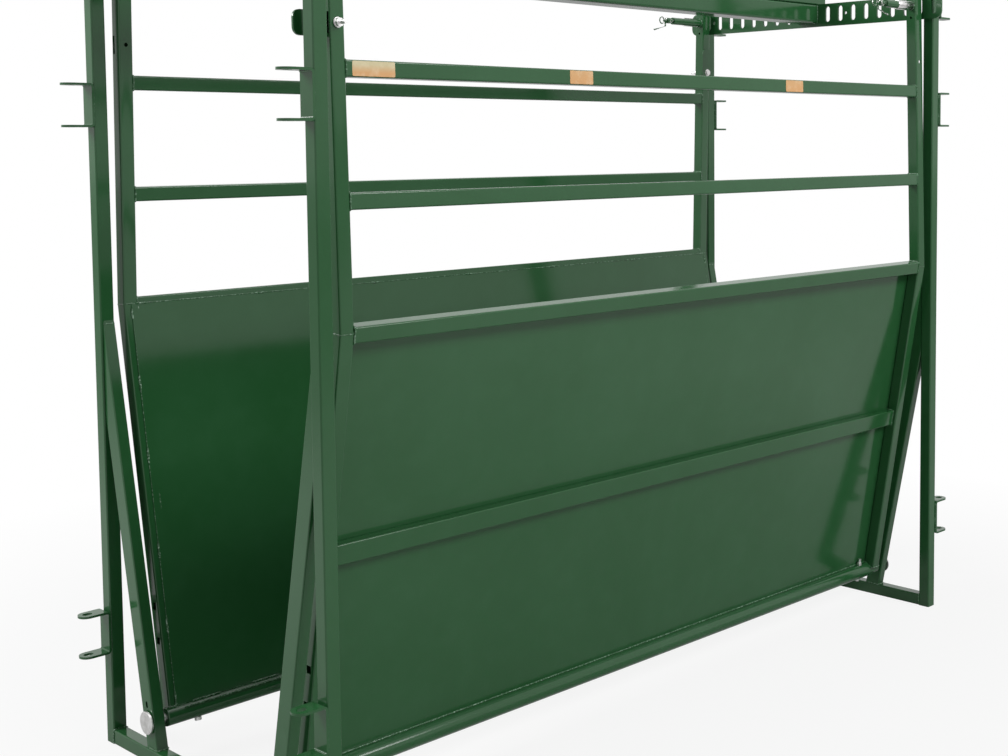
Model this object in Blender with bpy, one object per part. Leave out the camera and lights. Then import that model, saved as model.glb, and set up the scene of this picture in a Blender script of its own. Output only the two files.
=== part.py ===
"""Livestock alley section: two end portals tied by a top beam, and two side panels that
swing on bottom pivots and latch into slotted bars. Metres, +Z up, +X from front to rear.
Left is +Y. The rear portal and the right panel are the front portal and the left panel
turned half a turn about Z."""

import math

import bmesh
import bpy
from mathutils import Matrix, Vector

# Tube stock
TUBE = 0.0381
TUBE_CORNER = 0.0045
TUBE_WALL = 0.0025
BAND_WIDE = 0.0508
BAND_DEEP = 0.0254
BAND_CORNER = 0.0035
BAND_WALL = 0.0022
PIPE_RADIUS = 0.02415
PIPE_WALL = 0.0035

# Whole frame
LENGTH = 2.4867
WIDTH = 1.0058
HEIGHT = 2.134

# Clearances
FIT = 0.0003
RUN = 0.0004
COPE_GAP = 0.0006
END_GAP = 0.0236
SLIDE_GAP = 0.0007

# Bottom pivots
HINGE_Y = 0.289
HINGE_Z = 0.105
BRACE_TILT = math.radians(11.15)
BRACE_DEEP = 0.0318
PIN_RADIUS = 0.0125
PIN_HEAD_RADIUS = 0.030
PIN_HEAD_THICK = 0.0055
PIN_WASHER_RADIUS = 0.019
PIN_WASHER_THICK = 0.0035
PIN_DEPTH = 0.112
PIPE_CAP = 0.006
PIPE_PAST_POST = 0.012
PEEP_HIGH = 0.018
PEEP_WIDE = 0.009
PEEP_ABOVE = 0.045

# Lock bolts through the pipes
LOCK_FROM_END = 0.094
LOCK_RADIUS = 0.005
LOCK_HEAD_RADIUS = 0.0095
LOCK_HEAD_THICK = 0.008
LOCK_STUD = 0.014

# Panels
BEND_Z = 1.163
BEND_INSIDE_WIDTH = 0.0094
POST_UNDER_BAR_TOP = 0.008
UPPER_LEAN = math.radians(1.3)
LOWER_SLOPE = math.radians(9.4)
FOOT_OVER_AXIS = 0.014
RAIL_1_SHARE = 0.652
RAIL_2_SHARE = 0.326
SHEET_RAIL_BELOW_BEND = 0.0045
MID_RAIL_Z = 0.6435
SHEET_THICK = 0.002
SHEET_LAP = 0.019
SHEET_UNDER_RAIL_TOP = 0.0185

# Slotted bars and top members
BAR_BELOW_TOP = 0.074
BAR_TALL = 0.078
BAR_THICK = 0.0075
BAR_PAST_UPRIGHT = 0.034
BAR_END_CORNER = 0.024
SLOT_STEPS = 7
SLOT_FIRST_Y = 0.084
SLOT_WIDE = 0.019
SLOT_TALL = 0.0535
SLOT_DROP = 0.0362
BAR_HOLE_STEPS = (1.42, 6.5)
BAR_HOLE_RADIUS = 0.0055
BEAM_WIDE = 0.083
BEAM_TALL = 0.065
BEAM_WALL = 0.003
BEAM_CORNER = 0.009
CAP_TALL = 0.042

# Latches
LATCH_DROP = 0.038
LATCH_PIN_RADIUS = 0.007
LATCH_TIP_CLEAR = 0.002
LATCH_BODY_RADIUS = 0.0127
LATCH_BODY_LONG = 0.152
LATCH_NUT_RADIUS = 0.0115
LATCH_NUT_LONG = 0.015
LATCH_NECK_LONG = 0.015
LATCH_TRAVEL = 0.0155
LATCH_NUT_CLEAR = 0.002
EYE_RADIUS = 0.0115
EYE_WIRE = 0.0032
TAIL_DROP = 0.021
TAIL_LONG = 0.060
TAIL_WIRE = 0.0030
BOSS_RADIUS = 0.004
BOSS_DROP = 0.038

# Turn plates
TURN_DROP = 0.212
TURN_TALL = 0.056
TURN_LONG = 0.086
TURN_CORNER = 0.017
TURN_THICK = 0.006
TURN_OFF = 0.0012
TURN_BOLT_RADIUS = 0.005
TURN_NUT_RADIUS = 0.0105
TURN_NUT_THICK = 0.008
TURN_WASHER_THICK = 0.002
TURN_STUD = 0.020
TURN_SLOT_TALL = 0.047
TURN_SLOT_WIDE = 0.010

# Square openings low on the posts
PORT_TALL = 0.019
PORT_WIDE = 0.016
PORT_Z = (0.292, 0.380)

# Coupling lugs
LUG_REACH = 0.0777
LUG_THICK = 0.006
LUG_WIDE = 0.046
LUG_TALL = 0.113
LUG_BEND = 0.004
LUG_HOLE_WIDE = 0.018
LUG_HOLE_LONG = 0.026
LUG_HOLE_IN = 0.024
LUG_LOW_Z = 0.303
LUG_MID_DROP = 0.4505
LUG_TOP_DROP = 0.094

# Round piece facets
ROUND = 32
SMALL_ROUND = 16

# Colours
GREEN = (0.035, 0.105, 0.045)
ZINC = (0.62, 0.63, 0.64)

# Heights that follow the uprights
BAR_HIGH = HEIGHT - BAR_BELOW_TOP
BAR_LOW = BAR_HIGH - BAR_TALL
BEAM_LOW = BAR_HIGH - BEAM_TALL
SLOT_CENTRE_Z = BAR_HIGH - SLOT_DROP
LATCH_Z = BAR_HIGH - LATCH_DROP
POST_TOP = BAR_HIGH - POST_UNDER_BAR_TOP
TURN_Z = POST_TOP - TURN_DROP
RAIL_1_Z = BEND_Z + RAIL_1_SHARE * (POST_TOP - BEND_Z)
RAIL_2_Z = BEND_Z + RAIL_2_SHARE * (POST_TOP - BEND_Z)
LUG_Z = (LUG_LOW_Z, HEIGHT - LUG_MID_DROP, HEIGHT - LUG_TOP_DROP)

# Derived places, measured on the left panel and the front portal
FRONT_X = -LENGTH / 2
UPRIGHT_Y = WIDTH / 2 - TUBE / 2
INNER_Y = WIDTH / 2 - TUBE
BEND_Y = WIDTH / 2 - BEND_INSIDE_WIDTH
POST_FRONT_X = FRONT_X + TUBE + END_GAP
POST_X = POST_FRONT_X + TUBE / 2
PANEL_HALF = -POST_FRONT_X
RAIL_HALF = PANEL_HALF - TUBE - FIT
BAR_X = FRONT_X + TUBE + FIT
UP = Vector((0, -math.sin(UPPER_LEAN), math.cos(UPPER_LEAN)))
UP_OUT = Vector((0, math.cos(UPPER_LEAN), math.sin(UPPER_LEAN)))
DOWN = Vector((0, -math.sin(LOWER_SLOPE), -math.cos(LOWER_SLOPE)))
DOWN_OUT = Vector((0, math.cos(LOWER_SLOPE), -math.sin(LOWER_SLOPE)))
HINGE = Vector((0, HINGE_Y, HINGE_Z))
BEND = Vector((0, BEND_Y, BEND_Z)) - HINGE


def upper_centre(z):
    """Centre of an upper post at world height z, in the panel's own coordinates."""
    middle = BEND - UP_OUT * (TUBE / 2)
    return middle + UP * ((z - HINGE_Z - middle.z) / UP.z)


def lower_face(z):
    """Point of the lower post's outer face at world height z, in panel coordinates."""
    return BEND + DOWN * ((z - HINGE_Z - BEND.z) / DOWN.z)


LATCH_Y = upper_centre(LATCH_Z).y + HINGE_Y
SLOT_PITCH = (LATCH_Y - SLOT_FIRST_Y) / SLOT_STEPS


# Outlines and rings

def rounded(width, depth, corner, arc=3, side=1):
    """Rounded rectangle as (a, b) pairs, anticlockwise, each straight side in equal steps."""
    corners = []
    for quarter, (sa, sb) in enumerate(((1, 1), (-1, 1), (-1, -1), (1, -1))):
        middle = Vector((sa * (width / 2 - corner), sb * (depth / 2 - corner)))
        turns = [math.radians(90 * (quarter + step / arc)) for step in range(arc + 1)]
        corners.append([middle + corner * Vector((math.cos(t), math.sin(t))) for t in turns])
    points = []
    for index, run in enumerate(corners):
        points += run
        following = corners[(index + 1) % 4][0]
        points += [run[-1].lerp(following, step / side) for step in range(1, side)]
    return points


def circle(radius, count):
    turns = [math.tau * (step + 0.5) / count for step in range(count)]
    return [Vector((radius * math.cos(t), radius * math.sin(t))) for t in turns]


def hexagon(radius, count):
    """A hexagon drawn with the same number of points as a circle, for lofting to one."""
    points = []
    for step in range(count):
        turn = math.tau * (step + 0.5) / count
        across = (turn % math.radians(60)) - math.radians(30)
        reach = radius * math.cos(math.radians(30)) / math.cos(across)
        points.append(Vector((reach * math.cos(turn), reach * math.sin(turn))))
    return points


def obround(wide, tall, count):
    """Upright slot outline centred on nothing, as (a, b) pairs."""
    rise = (tall - wide) / 2
    points = []
    for step in range(count):
        turn = math.pi * step / (count - 1)
        points.append(Vector((wide / 2 * math.cos(turn), rise + wide / 2 * math.sin(turn))))
    return points + [-point for point in points]


def ring(points, origin, first, second):
    return [origin + first * point.x + second * point.y for point in points]


def onto_plane(points, direction, on_plane, normal):
    """Each point moved along direction until it meets the plane."""
    return [p + direction * ((on_plane - p).dot(normal) / direction.dot(normal)) for p in points]


def onto_pipe(points, direction, radius, least=0.0):
    """Each point moved along direction until it meets a cylinder on the panel's own X axis.

    A point that would pass beside the cylinder stops short of its axis by least.
    """
    moved = []
    for point in points:
        flat = Vector((0, point.y, point.z))
        foot = -flat.dot(direction)
        offset = (flat + direction * foot).length
        back = math.sqrt(max(0.0, radius**2 - offset**2))
        moved.append(point + direction * (foot - max(back, least)))
    return moved


# Solids

X_AXIS = Vector((1, 0, 0))
Y_AXIS = Vector((0, 1, 0))
Z_AXIS = Vector((0, 0, 1))


def add_ring(bm, points):
    return [bm.verts.new(point) for point in points]


def wall(bm, rings):
    for low, high in zip(rings, rings[1:]):
        for index in range(len(low)):
            after = (index + 1) % len(low)
            bm.faces.new((low[index], low[after], high[after], high[index]))


def solid_loft(rings):
    """A solid body through rings of equal count, capped at both ends."""
    bm = bmesh.new()
    loops = [add_ring(bm, points) for points in rings]
    wall(bm, loops)
    bm.faces.new(loops[0])
    bm.faces.new(loops[-1])
    return bm


def hollow_loft(outer, inner, closed_start=False):
    """A tube through outer rings, hollow through inner rings, open unless closed at its start."""
    bm = bmesh.new()
    outside = [add_ring(bm, points) for points in outer]
    inside = [add_ring(bm, points) for points in inner]
    wall(bm, outside)
    wall(bm, inside)
    wall(bm, (outside[-1], inside[-1]))
    if closed_start:
        bm.faces.new(outside[0])
        bm.faces.new(inside[0])
    else:
        wall(bm, (outside[0], inside[0]))
    return bm


def straight_tube(width, depth, corner, wall_thick, half, first, second, along):
    """Open tube of rounded section, centred on its origin."""
    bore = (width - 2 * wall_thick, depth - 2 * wall_thick, max(corner - wall_thick, 0.0008))
    outside = rounded(width, depth, corner)
    inside = rounded(*bore)
    ends = (-half, half)
    return hollow_loft(
        [ring(outside, along * end, first, second) for end in ends],
        [ring(inside, along * end, first, second) for end in ends],
    )


def filled(bm, loops):
    """Fills an outline, first loop outside and the rest holes, in the XY plane of bm."""
    edges = []
    for points in loops:
        verts = [bm.verts.new((point.x, point.y, 0)) for point in points]
        edges += [bm.edges.new((verts[i - 1], verts[i])) for i in range(len(verts))]
    bmesh.ops.triangle_fill(bm, use_beauty=True, edges=edges)


def thicken(flat, thick, place):
    """Solid from a flat mesh: place(a, b, h) gives the point at height h over (a, b)."""
    bmesh.ops.remove_doubles(flat, verts=flat.verts, dist=1e-6)
    flat.verts.index_update()
    bm = bmesh.new()
    spots = [(vert.co.x, vert.co.y) for vert in flat.verts]
    base = [bm.verts.new(place(a, b, 0)) for a, b in spots]
    top = [bm.verts.new(place(a, b, thick)) for a, b in spots]
    for face in flat.faces:
        order = [vert.index for vert in face.verts]
        bm.faces.new([base[i] for i in order])
        bm.faces.new([top[i] for i in order])
    for edge in flat.edges:
        if len(edge.link_faces) == 1:
            i, j = (vert.index for vert in edge.verts)
            bm.faces.new((base[i], base[j], top[j], top[i]))
    flat.free()
    return bm


def material(name, colour, roughness, metallic):
    found = bpy.data.materials.get(name)
    if found:
        return found
    made = bpy.data.materials.new(name)
    made.use_nodes = True
    made.diffuse_color = (*colour, 1)
    shader = made.node_tree.nodes["Principled BSDF"]
    shader.inputs["Base Color"].default_value = (*colour, 1)
    shader.inputs["Roughness"].default_value = roughness
    shader.inputs["Metallic"].default_value = metallic
    return made


def place(name, bm, parent=None, location=(0, 0, 0), finish="green", helper=False):
    """Makes an object from bm, shaded smooth but for edges over 35 degrees."""
    bmesh.ops.recalc_face_normals(bm, faces=bm.faces)
    for face in bm.faces:
        face.smooth = True
    for edge in bm.edges:
        edge.smooth = edge.calc_face_angle(0) < math.radians(35)
    mesh = bpy.data.meshes.new(name)
    bm.to_mesh(mesh)
    bm.free()
    obj = bpy.data.objects.new(name, mesh)
    bpy.context.scene.collection.objects.link(obj)
    obj.location = location
    obj.parent = parent
    if helper:
        obj.hide_render = True
        obj.display_type = "WIRE"
        return obj
    if finish == "zinc":
        mesh.materials.append(material("zinc_" + name, ZINC, 0.28, 1.0))
    else:
        mesh.materials.append(material("green_" + name, GREEN, 0.35, 0.0))
    return obj


def boolean(obj, helper, operation):
    change = obj.modifiers.new(operation.lower(), "BOOLEAN")
    change.operation = operation
    change.solver = "EXACT"
    change.object = helper


def axis_empty(name, parent, location, turn=0.0):
    empty = bpy.data.objects.new(name, None)
    bpy.context.scene.collection.objects.link(empty)
    empty.location = location
    empty.rotation_euler = (0, 0, turn)
    empty.parent = parent
    return empty


def merged(parts):
    """One mesh from several meshes that stay apart."""
    joined = bmesh.new()
    for part in parts:
        scratch = bpy.data.meshes.new("scratch")
        bmesh.ops.recalc_face_normals(part, faces=part.faces)
        part.to_mesh(scratch)
        part.free()
        joined.from_mesh(scratch)
        bpy.data.meshes.remove(scratch)
    return joined


def rod(radius, count, start, along, length, first, second):
    outline = circle(radius, count)
    return solid_loft([
        ring(outline, start, first, second),
        ring(outline, start + along * length, first, second),
    ])


def block(low, high):
    bm = bmesh.new()
    bmesh.ops.create_cube(bm, size=1)
    size = Vector(high) - Vector(low)
    bmesh.ops.scale(bm, vec=size, verts=bm.verts)
    bmesh.ops.translate(bm, vec=(Vector(low) + Vector(high)) / 2, verts=bm.verts)
    return bm


# Portal pieces

def make_upright(name, parent, side):
    outside = rounded(TUBE, TUBE, TUBE_CORNER)
    inside = rounded(TUBE - 2 * TUBE_WALL, TUBE - 2 * TUBE_WALL, TUBE_CORNER - TUBE_WALL)
    tall = Vector((0, 0, HEIGHT))
    under_cap = Vector((0, 0, HEIGHT - TUBE_WALL))
    bm = hollow_loft(
        [ring(outside, tall, X_AXIS, Y_AXIS), ring(outside, Vector(), X_AXIS, Y_AXIS)],
        [ring(inside, under_cap, X_AXIS, Y_AXIS), ring(inside, Vector(), X_AXIS, Y_AXIS)],
        closed_start=True,
    )
    place(name, bm, parent, (FRONT_X + TUBE / 2, side * UPRIGHT_Y, 0))


def make_sill(name, parent):
    bm = straight_tube(TUBE, TUBE, TUBE_CORNER, TUBE_WALL, INNER_Y - FIT, X_AXIS, Z_AXIS, Y_AXIS)
    place(name, bm, parent, (FRONT_X + TUBE / 2, 0, TUBE / 2))


def make_brace(name, parent, side):
    """Sloping band from the sill to the upright, bored for the pivot pin it carries."""
    rise = Vector((0, side * math.sin(BRACE_TILT), math.cos(BRACE_TILT)))
    across = Vector((0, side * math.cos(BRACE_TILT), -math.sin(BRACE_TILT)))
    foot = Vector((0, 0, TUBE + FIT - HINGE_Z))
    head = Vector((0, side * (INNER_Y - FIT - HINGE_Y), 0))
    rings = []
    for wall_thick in (0, BAND_WALL):
        outline = rounded(
            BRACE_DEEP - 2 * wall_thick,
            BAND_WIDE - 2 * wall_thick,
            BAND_CORNER - wall_thick,
        )
        middle = ring(outline, Vector(), X_AXIS, across)
        low = onto_plane(middle, rise, foot, Z_AXIS)
        high = onto_plane(middle, rise, head, Y_AXIS)
        rings.append([low, high])
    where = (FRONT_X + TUBE - BRACE_DEEP / 2, side * HINGE_Y, HINGE_Z)
    brace = place(name, hollow_loft(*rings), parent, where)
    deep = BRACE_DEEP
    bore = rod(PIN_RADIUS + RUN, ROUND, -X_AXIS * deep, X_AXIS, 2 * deep, Y_AXIS, Z_AXIS)
    slot = obround(PEEP_WIDE, PEEP_HIGH, 7)
    above = rise * PEEP_ABOVE
    peep = solid_loft([
        ring(slot, above - X_AXIS * deep, across, rise),
        ring(slot, above, across, rise),
    ])
    cutter = place("cut_" + name, merged((bore, peep)), parent, where, helper=True)
    boolean(brace, cutter, "DIFFERENCE")


def make_bar(name, parent):
    """Flat bar across the portal with upright slots at one pitch, and round holes between some."""
    tall = BAR_HIGH - BAR_LOW
    middle = (BAR_LOW + BAR_HIGH) / 2
    half = WIDTH / 2 + BAR_PAST_UPRIGHT
    flat = bmesh.new()
    loops = [rounded(2 * half, tall, BAR_END_CORNER, arc=6)]
    for side in (-1, 1):
        for step in range(SLOT_STEPS + 2):
            centre = Vector((side * (SLOT_FIRST_Y + step * SLOT_PITCH), SLOT_CENTRE_Z - middle))
            loops.append([centre + point for point in obround(SLOT_WIDE, SLOT_TALL, 7)])
        for step in BAR_HOLE_STEPS:
            centre = Vector((side * (SLOT_FIRST_Y + step * SLOT_PITCH), SLOT_CENTRE_Z - middle))
            loops.append([centre + point for point in circle(BAR_HOLE_RADIUS, SMALL_ROUND)])
    filled(flat, loops)
    bm = thicken(flat, BAR_THICK, lambda a, b, h: Vector((h, a, b)))
    place(name, bm, parent, (BAR_X, 0, middle))


def lug_point(along, high, half_web, reach):
    """Point of the bent strap: distance along its inner face, and height over that face."""
    bend = LUG_BEND
    flat_web = half_web - bend
    quarter = bend * math.pi / 2
    sign = 1 if along >= 0 else -1
    run = abs(along)
    if run <= flat_web:
        spot = (0.0, run, -1.0, 0.0)
    elif run <= flat_web + quarter:
        turn = (run - flat_web) / bend
        spot = (
            bend - bend * math.cos(turn),
            flat_web + bend * math.sin(turn),
            -math.cos(turn),
            math.sin(turn),
        )
    else:
        spot = (bend + run - flat_web - quarter, half_web, 0.0, 1.0)
    out, up, out_normal, up_normal = spot
    return -(out + high * out_normal), sign * (up + high * up_normal)


def make_lug(name, parent, side, z):
    """Strap bent into a C: a web on the upright's end face and two holed prongs."""
    half_web = LUG_TALL / 2 - LUG_THICK
    flat_web = half_web - LUG_BEND
    quarter = LUG_BEND * math.pi / 2
    prong = LUG_REACH - LUG_THICK - LUG_BEND - FIT
    start = flat_web + quarter
    tip = start + prong
    half = LUG_WIDE / 2
    flat = bmesh.new()
    for sign in (-1, 1):
        arc = [math.radians(90 - 180 * step / 12) for step in range(13)]
        outline = [Vector((sign * start, half * c)) for c in (-1, 1)]
        outline += [
            Vector((sign * (tip - half + half * math.cos(t)), half * math.sin(t))) for t in arc
        ]
        hole_centre = tip - LUG_HOLE_IN
        hole = [
            Vector((sign * (hole_centre + point.y), point.x))
            for point in obround(LUG_HOLE_WIDE, LUG_HOLE_LONG, 7)
        ]
        filled(flat, (outline, hole))
        steps = [flat_web + quarter * step / 4 for step in range(5)]
        add_strip(flat, [sign * s for s in steps], half)
    add_strip(flat, (-flat_web, flat_web), half)

    def bent(a, b, h):
        out, up = lug_point(a, h, half_web, LUG_REACH)
        return Vector((out - LUG_THICK - FIT, b, up))

    bm = thicken(flat, LUG_THICK, bent)
    place(name, bm, parent, (FRONT_X, side * UPRIGHT_Y, z))


def add_strip(flat, stops, half):
    """Adds quads across a strap between the given stops."""
    rows = [[flat.verts.new((a, b, 0)) for b in (-half, half)] for a in stops]
    for low, high in zip(rows, rows[1:]):
        flat.faces.new((low[0], low[1], high[1], high[0]))


# Panel pieces

def make_post(name, parent, end):
    """Bent post, capped at its top and coped onto the pipe, pierced for latch and bolt."""
    mitre = (DOWN - UP).normalized()
    outer_x = end * (PANEL_HALF - TUBE / 2)
    rings = []
    for wall_thick, gap in ((0, COPE_GAP), (TUBE_WALL, COPE_GAP)):
        size = TUBE - 2 * wall_thick
        outline = rounded(size, size, TUBE_CORNER - wall_thick, side=8)
        high = ring(outline, upper_centre(POST_TOP), X_AXIS, UP_OUT)
        top = Vector((0, 0, POST_TOP - HINGE_Z - wall_thick))
        high = onto_plane(high, UP, top, Z_AXIS)
        bend = onto_plane(high, -UP, BEND, mitre)
        low = onto_pipe(bend, DOWN, PIPE_RADIUS + gap, FOOT_OVER_AXIS)
        rings.append([high, bend, low])
    post = place(name, hollow_loft(*rings, closed_start=True), parent, (outer_x, 0, 0))
    cut = TUBE
    hole = rod(
        LATCH_PIN_RADIUS + SLIDE_GAP, SMALL_ROUND, upper_centre(LATCH_Z) - X_AXIS * cut,
        X_AXIS, 2 * cut, Y_AXIS, Z_AXIS,
    )
    boss = rod(
        BOSS_RADIUS, SMALL_ROUND, upper_centre(LATCH_Z - BOSS_DROP), -end * X_AXIS, cut,
        Y_AXIS, Z_AXIS,
    )
    across = rod(
        TURN_BOLT_RADIUS + RUN, SMALL_ROUND, upper_centre(TURN_Z) - UP_OUT * cut, UP_OUT,
        2 * cut, UP, X_AXIS,
    )
    cuts = [hole, boss, across]
    middle = upper_centre(TURN_Z)
    spot = middle + Vector((0, TUBE / 2 - TUBE_CORNER - TURN_SLOT_WIDE / 2, 0))
    cuts.append(side_window(spot, end, TURN_SLOT_WIDE, TURN_SLOT_TALL))
    for z in PORT_Z:
        spot = lower_face(z) - DOWN_OUT * (TUBE / 2)
        cuts.append(side_window(spot, end, PORT_WIDE, PORT_TALL))
    cutter = place("cut_" + name, merged(cuts), parent, (outer_x, 0, 0), helper=True)
    boolean(post, cutter, "DIFFERENCE")


def side_window(spot, end, wide, tall):
    """Cutter for a rectangular opening through the post's outer end face only."""
    near = end * (TUBE / 2 - 2 * TUBE_WALL)
    far = end * TUBE
    low = spot + Vector((min(near, far), -wide / 2, -tall / 2))
    high = spot + Vector((max(near, far), wide / 2, tall / 2))
    return block(low, high)


def lock_bolt_x(end):
    return end * (PANEL_HALF + PIPE_PAST_POST - LOCK_FROM_END)


def lock_bolt_hole(end, reach):
    """Cutter for the lock bolt's hole, reaching out on both sides of the pipe's axis."""
    start = X_AXIS * lock_bolt_x(end) + DOWN * reach
    return rod(LOCK_RADIUS + RUN, SMALL_ROUND, start, -DOWN, 2 * reach, DOWN_OUT, X_AXIS)


def make_rail(name, parent, z):
    centre = upper_centre(z)
    bm = straight_tube(TUBE, TUBE, TUBE_CORNER, TUBE_WALL, RAIL_HALF, UP_OUT, UP, X_AXIS)
    place(name, bm, parent, centre)


def make_lower_rail(name, parent, z, tall, deep, corner, wall_thick):
    """Rail in line with the lower slope, its inner side level with that of the posts."""
    centre = lower_face(z) - DOWN_OUT * (TUBE - deep / 2)
    bm = straight_tube(deep, tall, corner, wall_thick, RAIL_HALF, DOWN_OUT, DOWN, X_AXIS)
    place(name, bm, parent, centre)


def make_pipe(name, parent):
    """Bottom pipe with rounded ends, each end bored for its pivot pin."""
    half = PANEL_HALF + PIPE_PAST_POST
    bore = PIN_RADIUS + RUN
    inner = PIPE_RADIUS - PIPE_WALL
    nose = 0.6 * PIPE_CAP
    profile = [(half, bore)]
    for step in range(4):
        turn = math.radians(90 * step / 3)
        profile.append((half - nose + nose * math.cos(turn), PIPE_RADIUS - nose + nose * math.sin(turn)))
    outside = profile[1:] + [(-x, r) for x, r in reversed(profile[1:])]
    inside = [(half, bore), (half - PIPE_CAP, bore), (half - PIPE_CAP, inner)]
    inside += [(-x, r) for x, r in reversed(inside)]
    bm = hollow_loft(
        [ring(circle(r, ROUND), X_AXIS * x, Y_AXIS, Z_AXIS) for x, r in outside],
        [ring(circle(r, ROUND), X_AXIS * x, Y_AXIS, Z_AXIS) for x, r in inside],
    )
    pipe = place(name, bm, parent)
    cuts = []
    for end in (-1, 1):
        cuts.append(lock_bolt_hole(end, 2 * PIPE_RADIUS))
    cutter = place("cut_" + name, merged(cuts), parent, helper=True)
    boolean(pipe, cutter, "DIFFERENCE")


def make_pivot_pin(name, parent, end):
    """Headed pin through the brace into the pipe, turning with the panel."""
    brace_face = -FRONT_X - TUBE + BRACE_DEEP
    head_in = brace_face + PIN_WASHER_THICK + RUN
    inner_end = PANEL_HALF + PIPE_PAST_POST - PIN_DEPTH
    soft = 0.2 * PIN_HEAD_THICK
    profile = [
        (inner_end, PIN_RADIUS - soft), (inner_end + soft, PIN_RADIUS),
        (brace_face + RUN, PIN_RADIUS), (brace_face + RUN, PIN_WASHER_RADIUS),
        (head_in, PIN_WASHER_RADIUS), (head_in, PIN_HEAD_RADIUS),
        (head_in + PIN_HEAD_THICK - 2 * soft, PIN_HEAD_RADIUS),
        (head_in + PIN_HEAD_THICK - 0.6 * soft, PIN_HEAD_RADIUS - 0.6 * soft),
        (head_in + PIN_HEAD_THICK, PIN_HEAD_RADIUS - 2 * soft),
    ]
    bm = solid_loft(
        [ring(circle(r, ROUND), X_AXIS * (end * x), Y_AXIS, Z_AXIS) for x, r in profile]
    )
    pin = place(name, bm, parent, finish="zinc")
    hole = lock_bolt_hole(end, 2 * PIN_RADIUS)
    boolean(pin, place("cut_" + name, hole, parent, helper=True), "DIFFERENCE")


def make_lock_bolt(name, parent, end):
    """Bolt in line with the post, through pipe and pin: head below, nut and stud above."""
    seat = PIPE_RADIUS + RUN
    nut = seat + LOCK_HEAD_THICK
    stations = [
        (-nut, hexagon(LOCK_HEAD_RADIUS, SMALL_ROUND)), (-seat, hexagon(LOCK_HEAD_RADIUS, SMALL_ROUND)),
        (-seat, circle(LOCK_RADIUS, SMALL_ROUND)), (seat, circle(LOCK_RADIUS, SMALL_ROUND)),
        (seat, hexagon(LOCK_HEAD_RADIUS, SMALL_ROUND)), (nut, hexagon(LOCK_HEAD_RADIUS, SMALL_ROUND)),
        (nut, circle(LOCK_RADIUS, SMALL_ROUND)), (nut + LOCK_STUD, circle(LOCK_RADIUS, SMALL_ROUND)),
    ]
    bm = solid_loft([ring(points, -DOWN * up, DOWN_OUT, X_AXIS) for up, points in stations])
    place(name, bm, parent, (lock_bolt_x(end), 0, 0), finish="zinc")


def make_sheet(name, parent):
    """Flat sheet lapped over the inner side of its rail and both posts, down to the pipe."""
    rail = lower_face(BEND_Z - SHEET_RAIL_BELOW_BEND)
    top = rail + DOWN * (SHEET_UNDER_RAIL_TOP - TUBE / 2) - DOWN_OUT * (TUBE + FIT + SHEET_THICK)
    faces = [top, top + DOWN_OUT * SHEET_THICK]
    ends = onto_pipe(faces, DOWN, PIPE_RADIUS + COPE_GAP)
    drop = min((low - high).length for low, high in zip(ends, faces))
    half = PANEL_HALF - TUBE + SHEET_LAP
    outline = [Vector(corner) for corner in ((half, 0), (half, drop), (-half, drop), (-half, 0))]
    flat = bmesh.new()
    filled(flat, (outline,))
    bm = thicken(flat, SHEET_THICK, lambda a, b, h: top + X_AXIS * a + DOWN * b + DOWN_OUT * h)
    place(name, bm, parent)


def make_latch_body(name, parent, end):
    """Barrel on the post's inward face that guides the latch pin."""
    start = PANEL_HALF - TUBE - FIT
    rings = []
    for radius in (LATCH_BODY_RADIUS, LATCH_PIN_RADIUS + SLIDE_GAP):
        outline = circle(radius, SMALL_ROUND)
        stops = (start, start - LATCH_BODY_LONG)
        rings.append([ring(outline, X_AXIS * (end * x), Y_AXIS, Z_AXIS) for x in stops])
    place(name, hollow_loft(*rings), parent, upper_centre(LATCH_Z))


def make_latch_pin(name, parent, end):
    """Pin drawn back just clear of the bar, with nut, neck, eye and hanging tail."""
    bar_face = -BAR_X - BAR_THICK
    tip = bar_face - LATCH_TIP_CLEAR
    back = PANEL_HALF - TUBE - FIT - LATCH_BODY_LONG - LATCH_TRAVEL - LATCH_NUT_CLEAR
    neck = back - LATCH_NUT_LONG
    stop = neck - LATCH_NECK_LONG
    soft = 0.15 * LATCH_PIN_RADIUS
    slim = 0.6 * LATCH_PIN_RADIUS
    stations = [
        (tip, circle(LATCH_PIN_RADIUS - soft, SMALL_ROUND)),
        (tip - soft, circle(LATCH_PIN_RADIUS, SMALL_ROUND)),
        (back, circle(LATCH_PIN_RADIUS, SMALL_ROUND)),
        (back, hexagon(LATCH_NUT_RADIUS, SMALL_ROUND)),
        (neck, hexagon(LATCH_NUT_RADIUS, SMALL_ROUND)),
        (neck, circle(slim, SMALL_ROUND)),
        (stop, circle(slim, SMALL_ROUND)),
    ]
    bm = solid_loft([ring(points, X_AXIS * (end * x), Y_AXIS, Z_AXIS) for x, points in stations])
    where = upper_centre(LATCH_Z)
    pin = place(name, bm, parent, where, finish="zinc")
    eye_centre = X_AXIS * (end * (stop - EYE_RADIUS + EYE_WIRE / 2))
    eye = torus(eye_centre, EYE_RADIUS, EYE_WIRE / 2 + 0.0006)
    boolean(pin, place("eye_" + name, eye, parent, where, helper=True), "UNION")
    tail_x = X_AXIS * (end * (neck - LATCH_NECK_LONG * 0.45))
    knee = tail_x - Z_AXIS * TAIL_DROP
    run = X_AXIS * TAIL_LONG * (end if end < 0 else -end)
    outline = circle(TAIL_WIRE, 8)
    bisect = (X_AXIS * math.copysign(0.5, run.x) + Z_AXIS).normalized()
    tail = solid_loft([
        ring(outline, tail_x, X_AXIS, Y_AXIS),
        ring(outline, knee, X_AXIS, Y_AXIS),
        ring(outline, knee + run - Z_AXIS * (TAIL_LONG * 0.25), bisect, Y_AXIS),
    ])
    boolean(pin, place("tail_" + name, tail, parent, where, helper=True), "UNION")


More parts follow.
